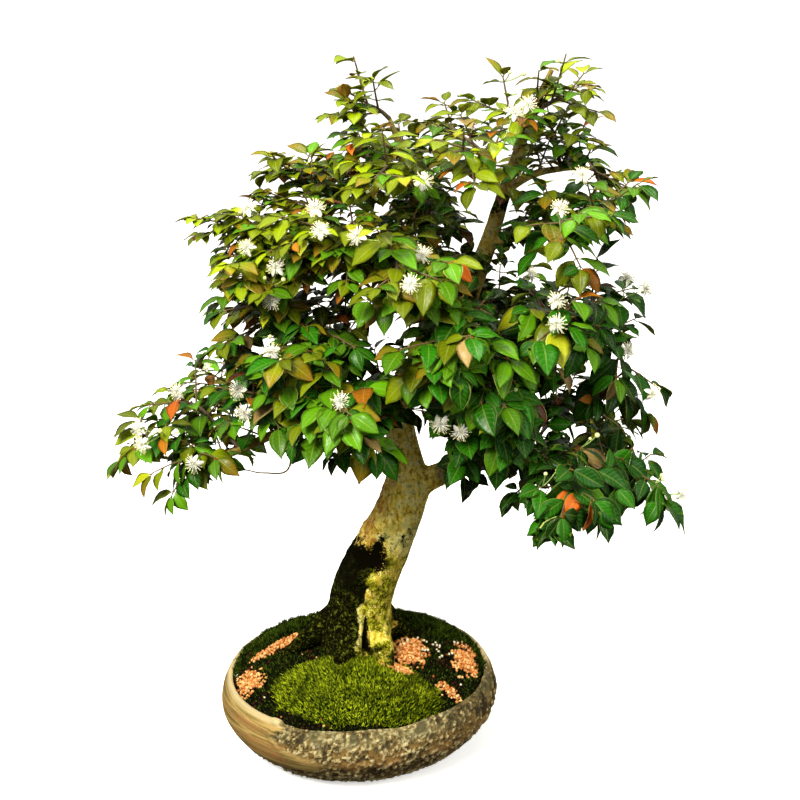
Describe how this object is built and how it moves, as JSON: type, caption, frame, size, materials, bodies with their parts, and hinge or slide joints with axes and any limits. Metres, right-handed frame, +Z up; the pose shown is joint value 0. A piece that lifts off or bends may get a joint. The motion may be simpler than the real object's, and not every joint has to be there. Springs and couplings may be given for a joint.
{
  "type": "surinam cherry bonsai in a round pot",
  "caption": "Flowering broadleaf bonsai with a leaning trunk, open leafy crown, moss and granule ground cover, in a low round incurved clay pot.",
  "frame": {"origin": "centre of the flat foot on the underside of the pot", "axes": "+Z up; the trunk leans towards +X; the front, with the bright moss cushion, faces -Y"},
  "size_m": [0.474, 0.3673, 0.609],
  "materials": {
    "clay": "unglazed marbled stoneware, smooth at the left, rough and pitted at the front and right",
    "screen": "dark moulded plastic",
    "soil": "damp dark potting soil",
    "bark": "smooth mottled bark with lichen and moss",
    "leaf": "glossy green leaf, bronze when young",
    "petal": "soft white petals and stamens",
    "moss": "bright cushion moss",
    "dark_moss": "dark low moss",
    "grain": "baked clay granules"
  },
  "bodies": {
    "root": {"pot": "clay", "drain_screen_1": "screen", "drain_screen_2": "screen", "soil": "soil", "moss_cushion": "moss", "moss_dark_left": "dark_moss", "moss_dark_right": "dark_moss", "grain_patch_left": "grain", "grain_patch_back": "grain", "grain_patch_trunk": "grain", "grain_patch_right": "grain", "grain_patch_front": "grain", "tree_wood": "bark", "bloom_1": "petal", "bloom_2": "petal", "bloom_3": "petal", "bloom_4": "petal", "bloom_5": "petal", "bloom_6": "petal", "bloom_7": "petal", "spray_01": "leaf", "spray_02": "leaf", "spray_03": "leaf", "spray_04": "leaf", "spray_05": "leaf", "spray_06": "leaf", "spray_07": "leaf", "spray_08": "leaf", "spray_09": "leaf", "spray_10": "leaf", "spray_11": "leaf", "spray_12": "leaf", "spray_13": "leaf", "spray_14": "leaf", "spray_15": "leaf", "spray_16": "leaf", "spray_17": "leaf", "spray_18": "leaf", "spray_19": "leaf", "spray_20": "leaf", "spray_21": "leaf", "spray_22": "leaf", "spray_23": "leaf", "spray_24": "leaf", "spray_25": "leaf", "spray_26": "leaf", "spray_27": "leaf", "spray_28": "leaf", "spray_29": "leaf", "spray_30": "leaf", "spray_31": "leaf", "spray_32": "leaf", "spray_33": "leaf", "spray_34": "leaf", "spray_35": "leaf", "spray_36": "leaf", "spray_37": "leaf", "spray_38": "leaf", "spray_39": "leaf", "spray_40": "leaf"}
  },
  "joints": []
}
